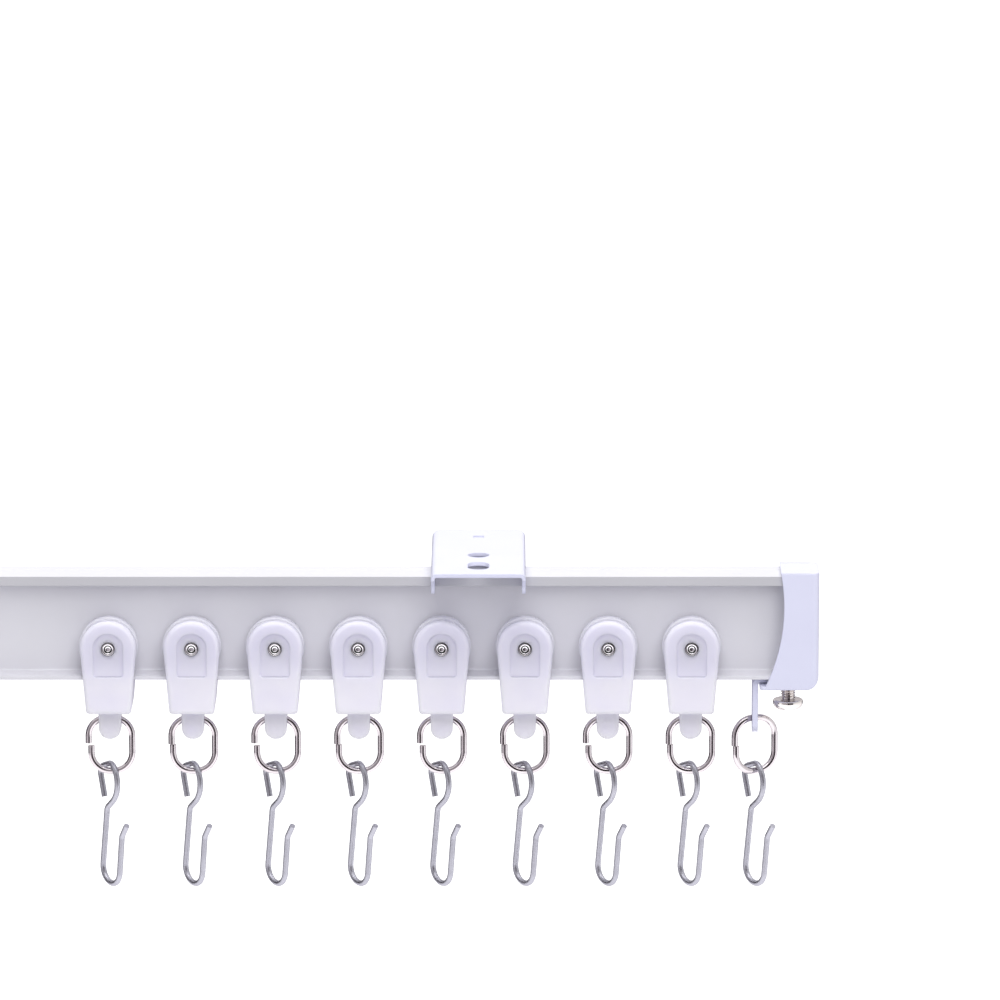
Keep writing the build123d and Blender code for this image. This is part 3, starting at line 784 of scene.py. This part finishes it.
FLOOR_HEIGHT = -0.42
FLOOR_GLOW = 0.8
bpy.ops.mesh.primitive_plane_add(size=60, location=(0, 0, FLOOR_HEIGHT))
floor = bpy.context.object
floor.name = "Floor"
floor_paint = bpy.data.materials.new("FloorWhite")
floor_paint.use_nodes = True
tree = floor_paint.node_tree
shader = tree.nodes["Principled BSDF"]
shader.inputs["Base Color"].default_value = (0.8, 0.8, 0.82, 1)
shader.inputs["Roughness"].default_value = 0.9
shader.inputs["Specular IOR Level"].default_value = 0.0
shader.inputs["Emission Color"].default_value = (1, 1, 1, 1)
tree.links.new(maths(tree, "MULTIPLY", seen_directly(tree), FLOOR_GLOW), shader.inputs["Emission Strength"])
floor.data.materials.append(floor_paint)
print("floor at", FLOOR_HEIGHT)

# %% World
world = bpy.data.worlds.new("Studio")
bpy.context.scene.world = world
world.use_nodes = True
tree = world.node_tree
tree.nodes.clear()
room = add(tree, "ShaderNodeBackground", Color=(0.98, 0.98, 1.0, 1), Strength=0.5)
white = add(tree, "ShaderNodeBackground", Color=(1, 1, 1, 1), Strength=1.0)
mixed = add(tree, "ShaderNodeMixShader")
output = add(tree, "ShaderNodeOutputWorld")
tree.links.new(seen_directly(tree), mixed.inputs[0])
tree.links.new(room.outputs[0], mixed.inputs[1])
tree.links.new(white.outputs[0], mixed.inputs[2])
tree.links.new(mixed.outputs[0], output.inputs[0])
print("world", world.name)


# %% Lamps
LAMP_TARGET = Vector((-0.02, 0, -0.045))


def aim(place):
    """The turn that points a lamp's face from its place to the object."""
    return (LAMP_TARGET - place).to_track_quat("-Z", "Y").to_euler()


lamps = {
    "Overhead": {"place": Vector((0.0, -0.12, 1.25)), "size": 1.3, "power": 13.0},
    "Front": {"place": Vector((0.2, -1.3, 0.92)), "size": 1.1, "power": 10.6},
}
for name, plan in lamps.items():
    bpy.ops.object.light_add(type="AREA", location=plan["place"], rotation=aim(plan["place"]))
    lamp = bpy.context.object
    lamp.name = name
    lamp.data.shape = "SQUARE"
    lamp.data.size = plan["size"]
    lamp.data.energy = plan["power"]
    lamp.visible_camera = False
    lamp.visible_glossy = name == "Overhead"
print("lamps", sorted(lamps))

# %% [markdown]
# ## Cards for the reflections
# Bright wire in an all-white room looks like plastic. Photographers stand cards round it, so that each wire
# carries streaks between pale rims. These cards are seen by reflections only: a dark one in front and to the
# right, a grey one in front and to the left, and a dark one far to the left, as the picture's wires show. A
# low one behind keeps the rims from melting into the white background, and stays below what the tops reflect.

# %% Cards
FRONT = -1.0
BEHIND = 1.0
FAR_LEFT = -1.19
FAR_RIGHT = 1.19
DARK_FROM = 0.0
DARK_TO = 0.95
CARD_TOP = 0.7
LOW_CARD_TOP = 0.0
# Name, one upright edge, the other upright edge, the card's top and its colour
cards = (
    ("CardGrey", (FAR_LEFT, FRONT), (DARK_FROM, FRONT), CARD_TOP, (0.4, 0.37, 0.4)),
    ("CardDark", (DARK_FROM, FRONT), (DARK_TO, FRONT), CARD_TOP, (0.03, 0.02, 0.027)),
    ("CardLeft", (FAR_LEFT, -0.45), (FAR_LEFT, BEHIND), CARD_TOP, (0.06, 0.05, 0.06)),
    ("CardBack", (FAR_LEFT, BEHIND), (FAR_RIGHT, BEHIND), LOW_CARD_TOP, (0.16, 0.14, 0.16)),
)
for name, start, end, top, colour in cards:
    start = Vector((*start, FLOOR_HEIGHT))
    end = Vector((*end, top))
    middle = (start + end) / 2
    span = end - start
    turn = math.pi / 2 if abs(span.x) < 0.01 else 0.0
    bpy.ops.mesh.primitive_plane_add(size=1, location=middle, rotation=(math.pi / 2, 0, turn))
    card = bpy.context.object
    card.name = name
    card.scale = (max(abs(span.x), abs(span.y)), span.z, 1)
    paint = bpy.data.materials.new(name + "Paint")
    paint.use_nodes = True
    shader = paint.node_tree.nodes["Principled BSDF"]
    shader.inputs["Base Color"].default_value = (0, 0, 0, 1)
    shader.inputs["Specular IOR Level"].default_value = 0.0
    shader.inputs["Emission Color"].default_value = (*colour, 1)
    shader.inputs["Emission Strength"].default_value = 1.0
    card.data.materials.append(paint)
    for ray in ("camera", "diffuse", "shadow", "transmission", "volume_scatter"):
        setattr(card, f"visible_{ray}", False)
print("cards", sorted(row[0] for row in cards))
